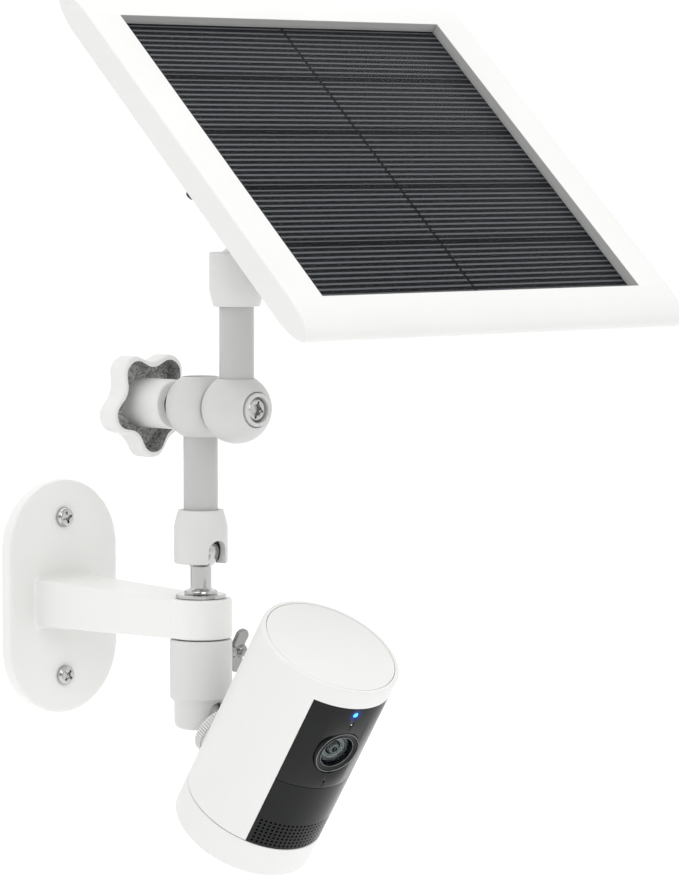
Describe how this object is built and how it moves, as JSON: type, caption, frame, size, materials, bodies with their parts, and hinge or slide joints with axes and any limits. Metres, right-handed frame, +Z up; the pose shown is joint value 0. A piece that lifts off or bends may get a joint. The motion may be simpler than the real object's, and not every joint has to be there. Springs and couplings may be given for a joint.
{
  "type": "solar powered security camera",
  "caption": "Cylindrical security camera hung from a wall bracket, with a solar panel carried above it on a jointed mast.",
  "frame": {"origin": "centre of the wall plate's back face", "axes": "+Y into the wall, +Z up, the camera looks towards -Y and down"},
  "size_m": [0.2289, 0.1982, 0.3621],
  "materials": {
    "white_plastic": "satin moulded",
    "white_metal": "satin powder coat",
    "grey_plastic": "matt",
    "black_gloss": "glossy",
    "black_plastic": "satin",
    "steel": "bright plated",
    "brass": "machined brass",
    "clear_glass": "clear",
    "cells": "dark cells with light lines",
    "rubber": "matt",
    "board": "solder mask",
    "battery": "wrapped cells",
    "blue_lamp": "clear blue"
  },
  "bodies": {
    "bracket": {"wall_bracket": "white_metal", "wall_screw_upper": "steel", "wall_screw_lower": "steel", "stud_washer": "steel", "swivel_bolt": "steel"},
    "mast_stud": {"mast_ball_stud": "steel"},
    "lower_mast": {"lower_collar": "white_plastic", "lower_pole": "white_metal", "lower_pressure_pad": "grey_plastic", "elbow_ball_lower": "white_plastic", "elbow_washer": "black_plastic", "clamp_bolt": "steel"},
    "knob": {"star_knob": "white_plastic", "knob_insert": "brass"},
    "upper_mast": {"elbow_ball_upper": "white_plastic", "bolt_cap_ring": "white_plastic", "upper_pole": "white_metal", "upper_pressure_pad": "grey_plastic"},
    "collar": {"upper_collar": "white_plastic"},
    "panel_stud": {"panel_ball_stud": "steel", "panel_lock_nut": "steel"},
    "panel": {"panel_frame": "white_plastic", "panel_glass": "clear_glass", "panel_cell_sheet": "cells", "panel_mount_plate": "white_plastic", "panel_insert": "brass", "panel_screw_left": "steel", "panel_screw_right": "steel", "cable_inlet": "rubber"},
    "swivel": {"swivel_housing": "white_plastic", "swivel_plunger": "grey_plastic"},
    "wing": {"wing_screw": "steel"},
    "camera_stud": {"camera_ball_stud": "white_metal"},
    "ring": {"lock_ring": "white_plastic"},
    "camera": {"camera_shell": "white_plastic", "top_cap": "white_plastic", "face_upper": "black_gloss", "face_lower": "black_gloss", "lens_ring": "black_plastic", "lens_glass": "clear_glass", "lens_barrel": "black_plastic", "led_window": "blue_lamp", "light_sensor_window": "grey_plastic", "sensor_board": "board", "main_board": "board", "chassis": "black_plastic", "battery_pack": "battery", "speaker": "black_plastic", "motion_sensor": "steel", "microphone": "steel", "mount_insert": "brass", "base_seal": "rubber", "charge_port": "steel"},
    "base": {"base_cap": "white_plastic"}
  },
  "joints": [
    {"name": "mast_turn", "type": "hinge", "parent": "bracket", "child": "mast_stud", "pos_m": [0, -0.095, 0.0262], "axis": [0, 0, 1], "range_deg": [-60, 8]},
    {"name": "mast_tilt", "type": "hinge", "parent": "mast_stud", "child": "lower_mast", "pos_m": [0, -0.095, 0.0262], "axis": [1, 0, 0], "range_deg": [-5, 12]},
    {"name": "elbow_turn", "type": "hinge", "parent": "lower_mast", "child": "upper_mast", "pos_m": [0, -0.1062, 0.0863], "axis": [0, 1, 0], "range_deg": [-45, 45]},
    {"name": "knob_turn", "type": "hinge", "parent": "lower_mast", "child": "knob", "pos_m": [0, -0.0607, 0.0863], "axis": [0, 1, 0], "range_deg": [0, 360]},
    {"name": "panel_pan", "type": "hinge", "parent": "upper_mast", "child": "collar", "pos_m": [0, -0.1174, 0.1454], "axis": [0, 0, 1], "range_deg": [-60, 5]},
    {"name": "panel_tilt", "type": "hinge", "parent": "collar", "child": "panel_stud", "pos_m": [0, -0.1174, 0.1454], "axis": [1, 0, 0], "range_deg": [-8, 40]},
    {"name": "panel_spin", "type": "hinge", "parent": "panel_stud", "child": "panel", "pos_m": [0, -0.1174, 0.1454], "axis": [0, -0.6803, 0.7329], "range_deg": [-30, 8]},
    {"name": "swivel_pan", "type": "hinge", "parent": "bracket", "child": "swivel", "pos_m": [0, -0.095, -0.03], "axis": [0, 0, 1], "range_deg": [-90, 45]},
    {"name": "wing_screw_turn", "type": "hinge", "parent": "swivel", "child": "wing", "pos_m": [0, -0.095, -0.0175], "axis": [1, 0, 0], "range_deg": [0, 360]},
    {"name": "camera_tilt", "type": "hinge", "parent": "swivel", "child": "camera_stud", "pos_m": [0, -0.095, -0.041], "axis": [1, 0, 0], "range_deg": [-12, 45]},
    {"name": "lock_ring_turn", "type": "hinge", "parent": "camera_stud", "child": "ring", "pos_m": [0, -0.095, -0.041], "axis": [0, -0.8339, -0.5519], "range_deg": [0, 360]},
    {"name": "camera_roll", "type": "hinge", "parent": "camera_stud", "child": "camera", "pos_m": [0, -0.095, -0.041], "axis": [0, -0.8339, -0.5519], "range_deg": [-90, 90]},
    {"name": "base_cap_slide", "type": "slide", "parent": "camera", "child": "base", "axis": [0, 0.5519, -0.8339], "range_m": [0, 0.012]}
  ]
}
